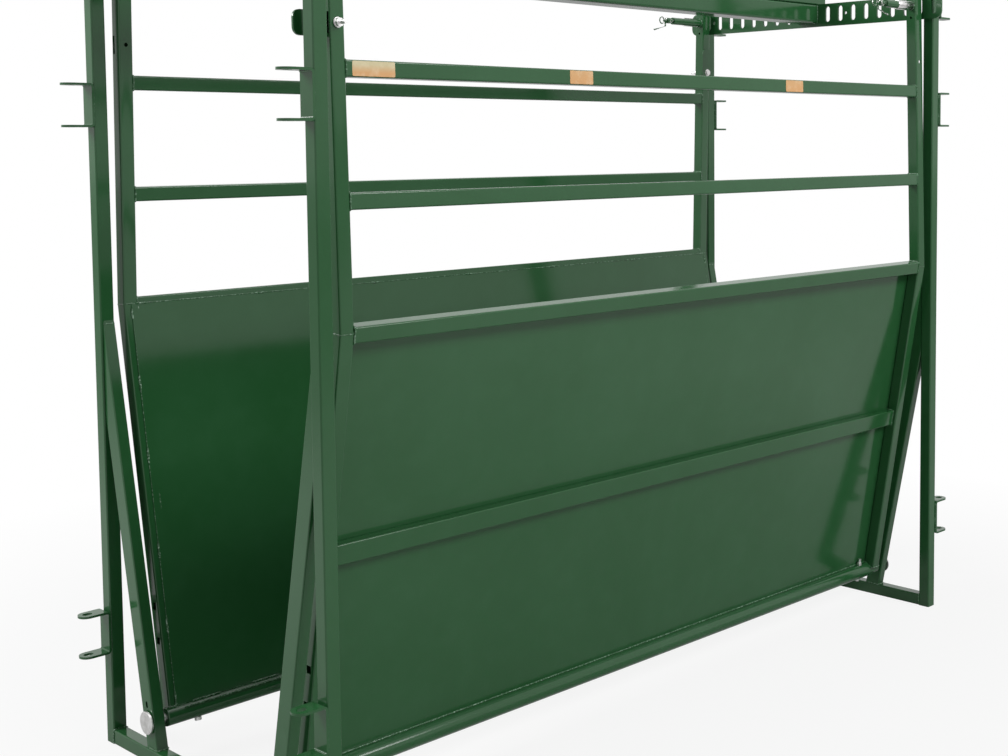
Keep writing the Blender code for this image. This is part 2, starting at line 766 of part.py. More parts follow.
def torus(centre, radius, wire):
    """Ring lying in the XZ plane about centre."""
    bm = bmesh.new()
    count = 20
    loops = []
    for step in range(count):
        turn = math.tau * step / count
        out = X_AXIS * math.cos(turn) + Z_AXIS * math.sin(turn)
        loops.append(add_ring(bm, ring(circle(wire, 8), centre + out * radius, out, Y_AXIS)))
    wall(bm, loops + loops[:1])
    return bm


def make_turn_plate(name, parent, end, upright):
    """Plate with soft corners on a cross bolt: washer, nut and stud lie on the outer side."""
    half = TURN_TALL / 2
    near = TUBE / 2 + TURN_OFF
    count = SMALL_ROUND
    plan = []
    for step in range(count // 2 + 1):
        turn = math.pi * (step / (count // 2) + 0.5)
        plan.append(Vector((math.cos(turn), math.sin(turn))) * half)
    for sign, start in ((-1, -0.5), (1, 0.0)):
        middle = Vector((TURN_LONG - TURN_CORNER, sign * (half - TURN_CORNER)))
        for step in range(count // 4 + 1):
            turn = math.pi * (start + 0.5 * step / (count // 4))
            plan.append(middle + Vector((math.cos(turn), math.sin(turn))) * TURN_CORNER)
    first, second = (UP, -end * X_AXIS) if upright else (end * X_AXIS, UP)
    flat = bmesh.new()
    filled(flat, (plan, circle(TURN_BOLT_RADIUS, count)))
    bm = thicken(flat, TURN_THICK, lambda a, b, h: first * a + second * b - UP_OUT * (near + h))
    for face in [face for face in bm.faces if on_bore(face)]:
        bm.faces.remove(face)
    add_bolt(bm, first, second, near, count)
    place(name, bm, parent, upper_centre(TURN_Z) + X_AXIS * (end * (PANEL_HALF - TUBE / 2)))


def on_bore(face):
    return all(v.co.cross(UP_OUT).length < TURN_BOLT_RADIUS * 1.001 for v in face.verts)


def add_bolt(bm, first, second, near, count):
    """Lofts a shaft, washer, nut and stud out of the plate's hole, and a head inside."""
    shaft = circle(TURN_BOLT_RADIUS, count)
    disc = circle(TURN_NUT_RADIUS * 1.12, count)
    hexes = hexagon(TURN_NUT_RADIUS, count)

    def same(out):
        return [nearest(bm, point) for point in ring(shaft, UP_OUT * out, first, second)]

    def new(out, points):
        return add_ring(bm, ring(points, UP_OUT * out, first, second))

    washer = near + TURN_WASHER_THICK
    nut = washer + TURN_NUT_THICK
    outward = [
        same(-near), new(near, shaft), new(near, disc), new(washer, disc),
        new(washer, hexes), new(nut, hexes), new(nut, shaft), new(nut + TURN_STUD, shaft),
    ]
    wall(bm, outward)
    bm.faces.new(outward[-1])
    back = -near - TURN_THICK
    inward = [same(back), new(back, hexes), new(back - TURN_NUT_THICK * 0.7, hexes)]
    wall(bm, inward)
    bm.faces.new(inward[-1])


def nearest(bm, point):
    return min(bm.verts, key=lambda vert: (vert.co - point).length_squared)


# Assembly

def clear_scene():
    for obj in list(bpy.data.objects):
        bpy.data.objects.remove(obj, do_unlink=True)


def make_half(end_name, other_end, side_name, turn):
    """One portal and one panel; the other half is the same turned about Z."""
    half = axis_empty(end_name + "_half_axis", None, (0, 0, 0), turn)
    sides = {"left": 1, "right": -1} if turn == 0 else {"left": -1, "right": 1}
    for label, side in sides.items():
        make_upright(f"{end_name}_{label}_upright", half, side)
        make_brace(f"{end_name}_{label}_brace", half, side)
        for level, z in zip(("low", "mid", "top"), LUG_Z):
            make_lug(f"{end_name}_{label}_lug_{level}", half, side, z)
    make_sill(end_name + "_sill", half)
    make_bar(end_name + "_slot_bar", half)
    panel = axis_empty(side_name + "_panel_axis", half, HINGE)
    make_rail(side_name + "_rail_1", panel, RAIL_1_Z)
    make_rail(side_name + "_rail_2", panel, RAIL_2_Z)
    sheet_rail_z = BEND_Z - SHEET_RAIL_BELOW_BEND
    make_lower_rail(
        side_name + "_sheet_rail", panel, sheet_rail_z, TUBE, TUBE, TUBE_CORNER, TUBE_WALL,
    )
    make_lower_rail(
        side_name + "_mid_rail", panel, MID_RAIL_Z, BAND_WIDE, BAND_DEEP, BAND_CORNER, BAND_WALL,
    )
    make_pipe(side_name + "_pipe", panel)
    make_sheet(side_name + "_sheet", panel)
    for end, label in ((-1, end_name), (1, other_end)):
        make_post(f"{label}_{side_name}_post", panel, end)
        make_pivot_pin(f"{label}_{side_name}_pivot_pin", panel, end)
        make_lock_bolt(f"{label}_{side_name}_lock_bolt", panel, end)
        make_latch_body(f"{label}_{side_name}_latch_body", panel, end)
        make_latch_pin(f"{label}_{side_name}_latch_pin", panel, end)
    make_turn_plate(f"{other_end}_{side_name}_turn_plate", panel, 1, turn == 0)


def make_top():
    low, high = BEAM_LOW, BAR_HIGH - FIT / 2
    half = LENGTH / 2 - TUBE - FIT - BAR_THICK - FIT
    bm = straight_tube(
        BEAM_WIDE, high - low, BEAM_CORNER, BEAM_WALL, half, Y_AXIS, Z_AXIS, X_AXIS,
    )
    place("top_beam", bm, None, (0, 0, (low + high) / 2))
    bm = straight_tube(
        BEAM_WIDE, CAP_TALL, BEAM_CORNER / 3, BEAM_WALL, LENGTH / 2, Y_AXIS, Z_AXIS, X_AXIS,
    )
    place("top_cap_tube", bm, None, (0, 0, BAR_HIGH + FIT / 2 + CAP_TALL / 2))


def main():
    clear_scene()
    make_half("front", "rear", "left", 0.0)
    make_half("rear", "front", "right", math.pi)
    make_top()
    reach = math.hypot(LATCH_Y - HINGE_Y, LATCH_Z - HINGE_Z)
    rest = math.asin((LATCH_Y - HINGE_Y) / reach)
    inward = math.degrees(rest - math.asin((SLOT_FIRST_Y - HINGE_Y) / reach))
    print(f"latch pin at y {LATCH_Y:.4f}, slot pitch {SLOT_PITCH:.4f}, swing {inward:.3f} degrees")


main()
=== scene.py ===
import math
import random

import bmesh
import bpy
from bpy.props import FloatProperty, FloatVectorProperty, IntProperty, PointerProperty
from bpy.types import Operator, Panel, PropertyGroup
from mathutils import Matrix, Vector
from mathutils.geometry import convex_hull_2d


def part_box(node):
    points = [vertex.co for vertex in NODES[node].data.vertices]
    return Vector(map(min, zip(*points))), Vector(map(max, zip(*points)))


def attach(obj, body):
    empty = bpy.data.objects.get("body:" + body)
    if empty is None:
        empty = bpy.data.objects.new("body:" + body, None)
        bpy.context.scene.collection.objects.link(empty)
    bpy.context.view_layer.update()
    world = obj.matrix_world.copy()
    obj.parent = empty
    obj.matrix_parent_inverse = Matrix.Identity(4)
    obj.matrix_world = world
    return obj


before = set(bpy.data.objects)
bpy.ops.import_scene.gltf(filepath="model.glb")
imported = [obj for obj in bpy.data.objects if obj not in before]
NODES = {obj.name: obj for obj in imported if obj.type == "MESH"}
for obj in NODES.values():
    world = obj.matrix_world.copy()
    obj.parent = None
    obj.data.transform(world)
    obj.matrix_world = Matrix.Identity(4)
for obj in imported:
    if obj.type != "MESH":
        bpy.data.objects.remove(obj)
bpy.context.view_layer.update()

bl_info = {
    "name": "Livestock Alley",
    "version": (1, 0, 0),
    "blender": (4, 5, 0),
    "location": "View3D > Sidebar > Alley",
    "description": "Powder coat, welds, zinc fittings and a plain studio for a livestock alley",
    "category": "Object",
}

X_AXIS = Vector((1, 0, 0))
Y_AXIS = Vector((0, 1, 0))
Z_AXIS = Vector((0, 0, 1))
SIDES = {"left": 1, "right": -1}
ENDS = {"front": -1, "rear": 1}

# The steelwork that welds, patches and turn plates follow: angles, then metres
UPPER_LEAN = math.radians(1.3)
LOWER_SLOPE = math.radians(9.4)
BEND_Z = 1.163
BEND_REACH = 0.012
TURN_Z = 1.84
TURN_BOLT_RADIUS = 0.0128
HALF_TUBE = 0.01905
FACE_DEPTH = 0.0005
HEAD_REACH = 0.012
COPE_RISE = 0.004
COPE_REACH = 0.020
COPE_SLOPE = 0.16

# Weld beads: swell and dip of a ripple, wander of the bead, taper at an open end, then how
# far a bead stops short of a corner, how deep it sits and how high it is over the ground
RIPPLE_CREST, RIPPLE_DIP = 0.12, -0.06
WANDER, WANDER_HELD = 0.05, 0.85
TAPER_START, TAPER_STEP = 0.45, 0.2
BAR_MARGINS = (0.006, 0.004)
LUG_MARGIN = 0.007
BEAD_SINK = 0.0006
FOOT_SINK = 0.0014
PIPE_SHARE = 0.985
GROUND_SHARE = 1.4

# Stitches: shares of the way down a sheet's end and along its top
END_STITCHES = (0.024, 0.20, 0.38, 0.617, 0.803, 0.985)
TOP_STITCHES = (0.012, 0.168, 0.34, 0.5, 0.66, 0.83, 0.988)

# Latch covers: distances from the barrel's end and surface, rounding, reach of the wrap
# and where it starts
COVER_START = 0.004
COVER_GAP = 0.0004
COVER_OUTER = 0.0026
COVER_SHOULDER = 0.0016
COVER_ROUND = 0.0012
COVER_WRAP = math.radians(200)
COVER_FIRST = math.radians(-10)
COVER_STEPS = 20

# Patches: start and end of each along the rail, then height, thickness, gap and corners
PATCHES = ((-1.127, -1.010), (-0.460, -0.378), (0.433, 0.517))
PATCH_TALL = 0.0335
PATCH_THICK = 0.00035
PATCH_GAP = 0.00015
PATCH_ROUND = 0.003

# Stage: the floor's reach and the share of plain white that the camera sees near the alley,
# which grows to 1 between 1.7 and 3.1 m from the middle; the share that gloss sees beyond
FLOOR_REACH = 60
NEAR_WHITE = 0.86
FADE_SCALE = 0.2
FADE_SPAN = (0.34, 0.62)
FAR_GLOSS = 0.4

# Lamps: place and size of each, and the point that they face
LAMP_AIM = Vector((0, 0, 1.0))
LAMPS = {
    "key": ((-3.9, 2.7, 3.8), (3.0, 2.0)),
    "fill": ((1.0, -5.2, 4.6), (5.0, 2.0)),
    "top": ((0.0, 0.0, 6.0), (5.0, 3.0)),
}

# Camera: place, then yaw from +Y towards +X, pitch down and roll in degrees
CAMERA_PLACE = (-3.0753, -3.1241, 1.5705)
CAMERA_TURN = (46.467, 4.108, 0.390)
CAMERA_LENS = 52.67
CAMERA_SENSOR = 36
CAMERA_SHIFT = (-0.1124, -0.1253)
CAMERA_REACH = 200


# Sizes and colours that a user may change

class AlleyPaint(PropertyGroup):
    """Powder coat over all the steelwork."""

    green: FloatVectorProperty(
        name="Green", description="Colour of the powder coat", subtype="COLOR",
        size=3, min=0, max=1, default=(0.0170, 0.088, 0.0265),
    )
    pale: FloatVectorProperty(
        name="Thin coat", description="Colour where the coat is thin or chalky",
        subtype="COLOR", size=3, min=0, max=1, default=(0.0270, 0.108, 0.0400),
    )
    roughness: FloatProperty(
        name="Roughness", description="Mean roughness of the coat", min=0, max=1, default=0.12,
    )
    peel: FloatProperty(
        name="Orange peel", description="Height of the fine ripple in the coat",
        unit="LENGTH", min=0, max=0.001, default=0.000012,
    )
    dent: FloatProperty(
        name="Sheet waves", description="Height of the slow waves in the sheets",
        unit="LENGTH", min=0, max=0.02, default=0.0035,
    )


class AlleyWeld(PropertyGroup):
    """Weld beads at the joints."""

    bead: FloatProperty(
        name="Bead radius", description="Radius of a weld bead", unit="LENGTH",
        min=0.0005, max=0.01, default=0.0026,
    )
    ripple: FloatProperty(
        name="Ripple spacing", description="Distance between two ripples of a bead",
        unit="LENGTH", min=0.001, max=0.01, default=0.0034,
    )
    stitch: FloatProperty(
        name="Stitch length", description="Length of one stitch along a sheet's edge",
        unit="LENGTH", min=0.005, max=0.2, default=0.042,
    )
    stitches: IntProperty(
        name="Stitches", description="Stitches along the bottom of a sheet",
        min=1, max=30, default=13,
    )


class AlleyFittings(PropertyGroup):
    """Zinc fittings and the plain patches."""

    zinc: FloatVectorProperty(
        name="Zinc", description="Colour of the zinc plate", subtype="COLOR",
        size=3, min=0, max=1, default=(0.80, 0.79, 0.79),
    )
    patch_top: FloatVectorProperty(
        name="Patch, upper", description="Colour of a patch at its top", subtype="COLOR",
        size=3, min=0, max=1, default=(0.60, 0.52, 0.31),
    )
    patch_low: FloatVectorProperty(
        name="Patch, lower", description="Colour of a patch at its bottom", subtype="COLOR",
        size=3, min=0, max=1, default=(0.64, 0.35, 0.145),
    )
    cover: FloatProperty(
        name="Cover length", description="Length of the bright cover on a latch barrel",
        unit="LENGTH", min=0.01, max=0.15, default=0.088,
    )


class AlleyStage(PropertyGroup):
    """Floor, light and camera."""

    floor: FloatVectorProperty(
        name="Floor", description="Colour of the floor", subtype="COLOR",
        size=3, min=0, max=1, default=(0.62, 0.62, 0.62),
    )
    key: FloatProperty(
        name="Key light", description="Power of the light on the front faces, in watts",
        min=0, default=225,
    )
    fill: FloatProperty(
        name="Fill light", description="Power of the light on the right side, in watts",
        min=0, default=280,
    )
    top: FloatProperty(
        name="Top light", description="Power of the overhead light, in watts",
        min=0, default=70,
    )
    sky: FloatProperty(
        name="Sky", description="Strength of the even light from all round", min=0, default=0.22,
    )


GROUPS = {
    "alley_paint": AlleyPaint,
    "alley_weld": AlleyWeld,
    "alley_fittings": AlleyFittings,
    "alley_stage": AlleyStage,
}


# Materials

DUST = (0.085, 0.115, 0.075, 1.0)
SPECK = (0.07, 0.16, 0.09, 1.0)
# Pale green painted onto weld beads as highlights
HIGHLIGHT_FLECK = (0.34, 0.52, 0.38, 1.0)
DULL_ZINC = (0.60, 0.59, 0.58, 1.0)
SUNNED = (0.86, 0.76, 0.55, 1.0)
FLOOR_GRAIN = (0.60, 0.60, 0.60, 1.0)
WHITE = (1.0, 1.0, 1.0, 1.0)
DUST_TOP = 0.10
MERGE_DISTANCE = 0.00002
SHARP_ANGLE = math.radians(36)


class Level:
    """A shader value. Arithmetic on it adds Math nodes."""

    def __init__(self, recipe, socket):
        self.recipe = recipe
        self.socket = socket

    def combine(self, operation, *values):
        inputs = dict(enumerate(values))
        return self.recipe.node("ShaderNodeMath", {"operation": operation}, inputs)

    def __add__(self, other):
        return self.combine("ADD", self, other)

    def __radd__(self, other):
        return self.combine("ADD", other, self)

    def __sub__(self, other):
        return self.combine("SUBTRACT", self, other)

    def __rsub__(self, other):
        return self.combine("SUBTRACT", other, self)

    def __mul__(self, other):
        return self.combine("MULTIPLY", self, other)

    def __rmul__(self, other):
        return self.combine("MULTIPLY", other, self)

    def __truediv__(self, other):
        return self.combine("DIVIDE", self, other)

    def __rtruediv__(self, other):
        return self.combine("DIVIDE", other, self)

    def most(self, other):
        return self.combine("MAXIMUM", self, other)


class Recipe:
    """A material under construction, with one method that makes every node."""

    def __init__(self, name, tree=None):
        if tree is None:
            self.material = bpy.data.materials.new(name)
            self.material.use_nodes = True
            tree = self.material.node_tree
        self.tree = tree
        self.tree.nodes.clear()

    def node(self, kind, settings=None, sockets=None, output=0):
        made = self.tree.nodes.new(kind)
        for key, value in (settings or {}).items():
            if key == "stops":
                self.set_stops(made.color_ramp, value)
            else:
                setattr(made, key, value)
        for key, value in (sockets or {}).items():
            if isinstance(value, Level):
                self.tree.links.new(value.socket, made.inputs[key])
            else:
                made.inputs[key].default_value = value
        return Level(self, made.outputs[output]) if made.outputs else None

    @staticmethod
    def set_stops(ramp, stops):
        while len(ramp.elements) < len(stops):
            ramp.elements.new(1)
        for element, (place, shade) in zip(ramp.elements, stops):
            element.position = place
            element.color = (shade, shade, shade, 1)

    def place(self):
        return self.node("ShaderNodeTexCoord", output="Object")

    def path(self, kind):
        return self.node("ShaderNodeLightPath", output=kind)

    def vector(self, operation, *values):
        """Vector Math, which gives a number for a length and a vector otherwise."""
        output = "Value" if operation == "LENGTH" else 0
        sockets = dict(enumerate(values))
        return self.node("ShaderNodeVectorMath", {"operation": operation}, sockets, output)

    def noise(self, scale, detail=2.0, rough=0.5, stretch=None):
        where = self.place()
        if stretch:
            where = self.node("ShaderNodeMapping", None, {"Vector": where, "Scale": stretch})
        sockets = {"Vector": where, "Scale": scale, "Detail": detail, "Roughness": rough}
        return self.node("ShaderNodeTexNoise", None, sockets)

    def ramp(self, value, low, high):
        """0 below low, 1 above high, straight between."""
        settings = {"stops": ((low, 0.0), (high, 1.0))}
        return self.node("ShaderNodeValToRGB", settings, {"Fac": value})

    def blend(self, factor, first, second):
        sockets = {0: factor, 6: first, 7: second}
        settings = {"data_type": "RGBA", "clamp_factor": True}
        return self.node("ShaderNodeMix", settings, sockets, output=2)

    def height(self):
        """Height over the ground."""
        return self.node("ShaderNodeSeparateXYZ", None, {0: self.place()}, output="Z")

    def bump(self, height, distance, normal=None):
        sockets = {"Height": height, "Distance": distance, "Strength": 1.0}
        if normal is not None:
            sockets["Normal"] = normal
        return self.node("ShaderNodeBump", None, sockets)

    def principled(self, **sockets):
        """Ends the recipe: underscores in the names stand for spaces."""
        named = {key.replace("_", " "): value for key, value in sockets.items()}
        surface = self.node("ShaderNodeBsdfPrincipled", None, named)
        self.node("ShaderNodeOutputMaterial", None, {"Surface": surface})
        return self.material


def rgba(colour):
    return (*colour, 1.0)


def powder_coat(name, slow_wave=0.0, ripple=0.0, chalk=0.5, bare=None, highlight_fleck=0.45):
    """Glossy green powder coat: orange peel, cloudy thickness, faint dust at the feet, and on weld
    beads pale flecks that are painted highlights.
    """
    paint = bpy.context.scene.alley_paint
    make = Recipe(name)
    cloud = make.noise(2.3, 3.0, 0.55)
    blotch = make.noise(17.0, 2.0, 0.5)
    speck = make.noise(420.0, 1.0, 0.5)
    thin = make.ramp(cloud, 0.38, 0.72) * 0.45 + make.ramp(blotch, 0.45, 0.75) * 0.2
    coat = make.blend(thin * (chalk * 2.0), rgba(paint.green), rgba(paint.pale))
    dust = (DUST_TOP - make.height()).most(0.0) * 2.5 * make.ramp(cloud, 0.3, 0.7)
    coat = make.blend(dust, coat, DUST)
    coat = make.blend(make.ramp(speck, 0.66, 0.74) * 0.10, coat, SPECK)
    smear = make.noise(5.0, 4.0, 0.6, (1.0, 1.0, 0.25))
    rough = (smear - 0.5) * 0.08 + paint.roughness + dust * 0.5
    peel = make.noise(330.0, 2.0, 0.45)
    normal = make.bump(peel, paint.peel)
    sag = make.noise(38.0, 1.0, 0.4)
    normal = make.bump(sag, paint.peel * 5.0, normal)
    metal = 0.0
    if slow_wave:
        wave = make.noise(1.15, 1.0, 0.35, (1.0, 1.0, 0.55))
        normal = make.bump(wave, slow_wave, normal)
    if ripple:
        lump = make.noise(620.0, 2.0, 0.6)
        normal = make.bump(lump, ripple, normal)
        # Painted highlights: pale flecks on the bead stand in for glints of light
        spot = make.ramp(make.noise(190.0, 2.0, 0.6), 0.50, 0.62) * highlight_fleck
        coat = make.blend(spot, coat, HIGHLIGHT_FLECK)
        rough = rough - spot * 0.06
    if bare:
        metal = bare(make)
        coat = make.blend(metal, coat, zinc_tint(make))
        rough = rough + metal * 0.16
    return make.principled(
        Base_Color=coat, Metallic=metal, Roughness=rough, Normal=normal,
        Specular_IOR_Level=0.42, IOR=1.5,
    )


def zinc_tint(make):
    fit = bpy.context.scene.alley_fittings
    cloud = make.noise(60.0, 3.0, 0.55)
    return make.blend(make.ramp(cloud, 0.35, 0.7), rgba(fit.zinc), DULL_ZINC)


def zinc_plate(name, bright=0.0):
    """Zinc plate: pale grey with cloudy passivation, fine scratches and dull spots."""
    make = Recipe(name)
    rub = make.noise(900.0, 2.0, 0.6, (0.2, 1.0, 1.0))
    rough = 0.34 - bright * 0.18 + (rub - 0.5) * 0.18
    spot = make.ramp(make.noise(210.0, 2.0, 0.5), 0.62, 0.7)
    rough = rough + spot * 0.15
    return make.principled(
        Base_Color=zinc_tint(make), Metallic=1.0, Roughness=rough,
        Normal=make.bump(rub, 0.00005),
    )


def round_area(centre, axis, radius):
    """Mask that is 1 inside a round column, such as a bolt's."""

    def mask(make):
        offset = make.vector("SUBTRACT", make.place(), centre)
        away = make.vector("LENGTH", make.vector("CROSS_PRODUCT", offset, axis))
        return away.combine("LESS_THAN", away, radius)

    return mask


def worn_spots(make):
    """Mask of the places where zinc shows through the paint."""
    return make.ramp(make.noise(140.0, 3.0, 0.6), 0.53, 0.60)


def patch_vinyl(name, low_z, high_z, fades):
    """Plain vinyl patch, cloudy from the sun; one that fades is paler at its top."""
    fit = bpy.context.scene.alley_fittings
    make = Recipe(name)
    rise = (make.height() - low_z) / (high_z - low_z)
    paler = make.ramp(rise, 0.25, 0.8) * (1.0 if fades else 0.12)
    tint = make.blend(paler, rgba(fit.patch_low), rgba(fit.patch_top))
    fade = make.noise(45.0, 3.0, 0.6)
    tint = make.blend(make.ramp(fade, 0.5, 0.8) * 0.3, tint, SUNNED)
    rough = 0.38 + (fade - 0.5) * 0.2
    return make.principled(
        Base_Color=tint, Roughness=rough, Normal=make.bump(make.noise(500.0), 0.00004),
    )


def rounded_edges():
    """Node group that joins a CAD node's loose faces and shades round corners smooth."""
    name = "alley_rounded_edges"
    if name in bpy.data.node_groups:
        return bpy.data.node_groups[name]
    tree = bpy.data.node_groups.new(name, "GeometryNodeTree")
    tree.interface.new_socket("Geometry", in_out="INPUT", socket_type="NodeSocketGeometry")
    tree.interface.new_socket("Geometry", in_out="OUTPUT", socket_type="NodeSocketGeometry")
    entry = tree.nodes.new("NodeGroupInput")
    leave = tree.nodes.new("NodeGroupOutput")
    merge = tree.nodes.new("GeometryNodeMergeByDistance")
    merge.inputs["Distance"].default_value = MERGE_DISTANCE
    strip = tree.nodes.new("GeometryNodeRemoveAttribute")
    strip.inputs["Name"].default_value = "custom_normal"
    faces = tree.nodes.new("GeometryNodeSetShadeSmooth")
    faces.domain = "FACE"
    edges = tree.nodes.new("GeometryNodeSetShadeSmooth")
    edges.domain = "EDGE"
    edges.inputs["Shade Smooth"].default_value = False
    angle = tree.nodes.new("GeometryNodeInputMeshEdgeAngle")
    sharp = tree.nodes.new("FunctionNodeCompare")
    sharp.data_type = "FLOAT"
    sharp.operation = "GREATER_THAN"
    sharp.inputs[1].default_value = SHARP_ANGLE
    join = tree.links.new
    join(entry.outputs[0], strip.inputs[0])
    join(strip.outputs[0], merge.inputs["Geometry"])
    join(merge.outputs[0], faces.inputs["Geometry"])
    join(faces.outputs[0], edges.inputs["Geometry"])
    join(angle.outputs[0], sharp.inputs[0])
    join(sharp.outputs[0], edges.inputs["Selection"])
    join(edges.outputs[0], leave.inputs[0])
    return tree


def dress(names, material):
    """Gives CAD nodes a better material and smooth round corners."""
    for name in names:
        node = NODES[name]
        for slot in node.material_slots:
            slot.material = material
        node.modifiers.new("rounded_edges", "NODES").node_group = rounded_edges()
        level = node.modifiers.new("level_faces", "WEIGHTED_NORMAL")
        level.mode = "FACE_AREA"
        level.weight = 100
        level.keep_sharp = True


# Shapes

def ready(name, bm, material, body, smooth=40):
    """Makes a finished piece that rides on a body, round where edges turn under smooth degrees."""
    for face in bm.faces:
        face.smooth = True
    for edge in bm.edges:
        edge.smooth = edge.calc_face_angle(0) < math.radians(smooth)
    mesh = bpy.data.meshes.new(name)
    bm.to_mesh(mesh)
    bm.free()
    mesh.materials.append(material)
    piece = bpy.data.objects.new(name, mesh)
    bpy.context.scene.collection.objects.link(piece)
    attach(piece, body)
    return piece


def corners_of(name):
    return [vert.co.copy() for vert in NODES[name].data.vertices]


def end_loop(name, direction):
    """Corner points round the face of a node that is furthest along direction, in order."""
    points = corners_of(name)
    reach = max(point.dot(direction) for point in points)
    points = [point for point in points if point.dot(direction) > reach - FACE_DEPTH]
    return hull_loop(points, direction)


def hull_loop(points, direction):
    """The points on the outline that the others leave when seen along direction."""
    first = direction.orthogonal().normalized()
    second = direction.cross(first)
    flat = [(point.dot(first), point.dot(second)) for point in points]
    return [points[index] for index in convex_hull_2d(flat)]


def along(points, closed, step):
    """Points at even steps on a polyline."""
    ends = points[1:] + points[:1] if closed else points[1:]
    made = []
    for start, stop in zip(points, ends):
        count = max(1, round((stop - start).length / step))
        made += [start.lerp(stop, part / count) for part in range(count)]
    return made if closed else made + [points[-1]]


class Beads:
    """Weld beads collected on one curve, then turned into one mesh."""

    def __init__(self, name):
        self.weld = bpy.context.scene.alley_weld
        self.chance = random.Random(name)
        self.curve = bpy.data.curves.new(name, "CURVE")
        self.curve.dimensions = "3D"
        self.curve.bevel_depth = self.weld.bead
        self.curve.bevel_resolution = 1
        self.curve.use_fill_caps = True

    def add(self, points, closed=False, size=1.0):
        points = along(points, closed, self.weld.ripple / 2)
        last = len(points) - 1
        spline = self.curve.splines.new("POLY")
        spline.points.add(last)
        drift = 0.0
        for index, (target, point) in enumerate(zip(spline.points, points)):
            drift = WANDER_HELD * drift + self.chance.uniform(-WANDER, WANDER)
            crest = RIPPLE_CREST if index % 2 else RIPPLE_DIP
            taper = 1.0
            if not closed:
                taper = min(1.0, TAPER_START + TAPER_STEP * min(index, last - index))
            target.co = (*point, 1)
            target.radius = size * taper * (1 + crest + drift)
        spline.use_cyclic_u = closed

    def finish(self, name, material, body):
        scratch = bpy.data.objects.new("scratch", self.curve)
        mesh = bpy.data.meshes.new_from_object(scratch)
        bpy.data.objects.remove(scratch)
        bpy.data.curves.remove(self.curve)
        bm = bmesh.new()
        bm.from_mesh(mesh)
        bpy.data.meshes.remove(mesh)
        bmesh.ops.remove_doubles(bm, verts=bm.verts, dist=1e-6)
        bmesh.ops.recalc_face_normals(bm, faces=bm.faces)
        return ready(name, bm, material, body, smooth=80)


def turned(profile, centre, axis, angle, steps, out):
    """Solid swept by turning an outline of (along, out) pairs part of the way round an axis."""
    bm = bmesh.new()
    verts = [bm.verts.new(centre + axis * a + out * b) for a, b in profile]
    face = bm.faces.new(verts)
    bmesh.ops.spin(
        bm, geom=[face, *face.edges, *verts], cent=centre, axis=axis, angle=angle,
        steps=steps, use_merge=False, use_duplicate=False,
    )
    bmesh.ops.recalc_face_normals(bm, faces=bm.faces)
    return bm


def bend_points(post):
    """Corner points of a post near its mitred bend."""
    return [point for point in corners_of(post) if abs(point.z - BEND_Z) < BEND_REACH]


# Operators

class ALLEY_OT_steelwork(Operator):
    """Powder coat on the tubes, bars, lugs and sheets"""

    bl_idname = "alley.steelwork"
    bl_label = "Coat the steelwork"

    def execute(self, context):
        tube = powder_coat("coat_tube", chalk=0.5)
        sheet = powder_coat("coat_sheet", context.scene.alley_paint.dent, chalk=0.6)
        plate = powder_coat("coat_plate", chalk=0.3)
        for name, side in (("rear_left", 1), ("front_right", -1)):
            out = Vector((0, side * math.cos(UPPER_LEAN), math.sin(UPPER_LEAN)))
            area = round_area(turn_centre(name), out, TURN_BOLT_RADIUS)
            dress([name + "_turn_plate"], powder_coat("coat_turn_" + name, bare=area))
        dress(
            [name for name in NODES if name.endswith("_latch_pin")],
            powder_coat("coat_latch_pin", chalk=0.3, bare=worn_spots),
        )
        for name in NODES:
            if name.endswith(("_turn_plate", "_latch_pin")):
                continue
            if name.endswith("_sheet"):
                dress([name], sheet)
            elif "lug" in name or "bar" in name:
                dress([name], plate)
            elif not name.endswith(("_pin", "_bolt")):
                dress([name], tube)
        return {"FINISHED"}


def turn_centre(name):
    """Middle of the cross bolt that a turn plate swings on, inside its post."""
    low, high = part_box(name + "_post")
    side = math.copysign(1, low.y)
    outer = max(side * point.y for point in bend_points(name + "_post"))
    lean = math.tan(UPPER_LEAN) * (TURN_Z - BEND_Z)
    return Vector(((low.x + high.x) / 2, side * (outer - HALF_TUBE - lean), TURN_Z))


class ALLEY_OT_zinc(Operator):
    """Zinc plate on the pivot pins and lock bolts"""

    bl_idname = "alley.zinc"
    bl_label = "Plate the pins and bolts"

    def execute(self, context):
        names = [name for name in NODES if name.endswith(("_pivot_pin", "_lock_bolt"))]
        dress(names, zinc_plate("zinc_fittings"))
        return {"FINISHED"}


class ALLEY_OT_frame_welds(Operator):
    """Weld beads on the two portals and the top beam"""

    bl_idname = "alley.frame_welds"
    bl_label = "Weld the portals"

    def execute(self, context):
        beads = Beads("frame_beads")
        above = beads.weld.bead * GROUND_SHARE
        for end, way in ENDS.items():
            for sign in (1, -1):
                foot = end_loop(end + "_sill", Y_AXIS * sign)
                beads.add([Vector((p.x, p.y, max(p.z, above))) for p in foot], True)
            low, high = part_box(end + "_slot_bar")
            outer = low.x if way < 0 else high.x
            for side, turn in SIDES.items():
                name = f"{end}_{side}"
                brace = name + "_brace"
                head = end_loop(brace, Y_AXIS * turn)
                top = max(point.z for point in head)
                head = sorted((p for p in head if p.z > top - HEAD_REACH), key=lambda p: p.x)
                beads.add([head[0], head[-1]], size=1.1)
                beads.add(end_loop(brace, -Z_AXIS), True)
                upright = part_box(name + "_upright")
                web = upright[0].x if way < 0 else upright[1].x
                edges = (upright[0].y, upright[1].y)
                bar = (low.z + BAR_MARGINS[0], high.z - BAR_MARGINS[1])
                for y in edges:
                    beads.add([Vector((outer, y, z)) for z in bar])
                for level in ("low", "mid", "top"):
                    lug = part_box(f"{name}_lug_{level}")
                    spots = (lug[0].z + LUG_MARGIN, lug[1].z - LUG_MARGIN)
                    for y in edges:
                        beads.add([Vector((web, y, z)) for z in spots], size=0.9)
            beads.add(end_loop("top_beam", X_AXIS * way), True)
        material = powder_coat("coat_weld", ripple=0.0002, chalk=0.9)
        beads.finish("frame_welds", material, "frame")
        return {"FINISHED"}


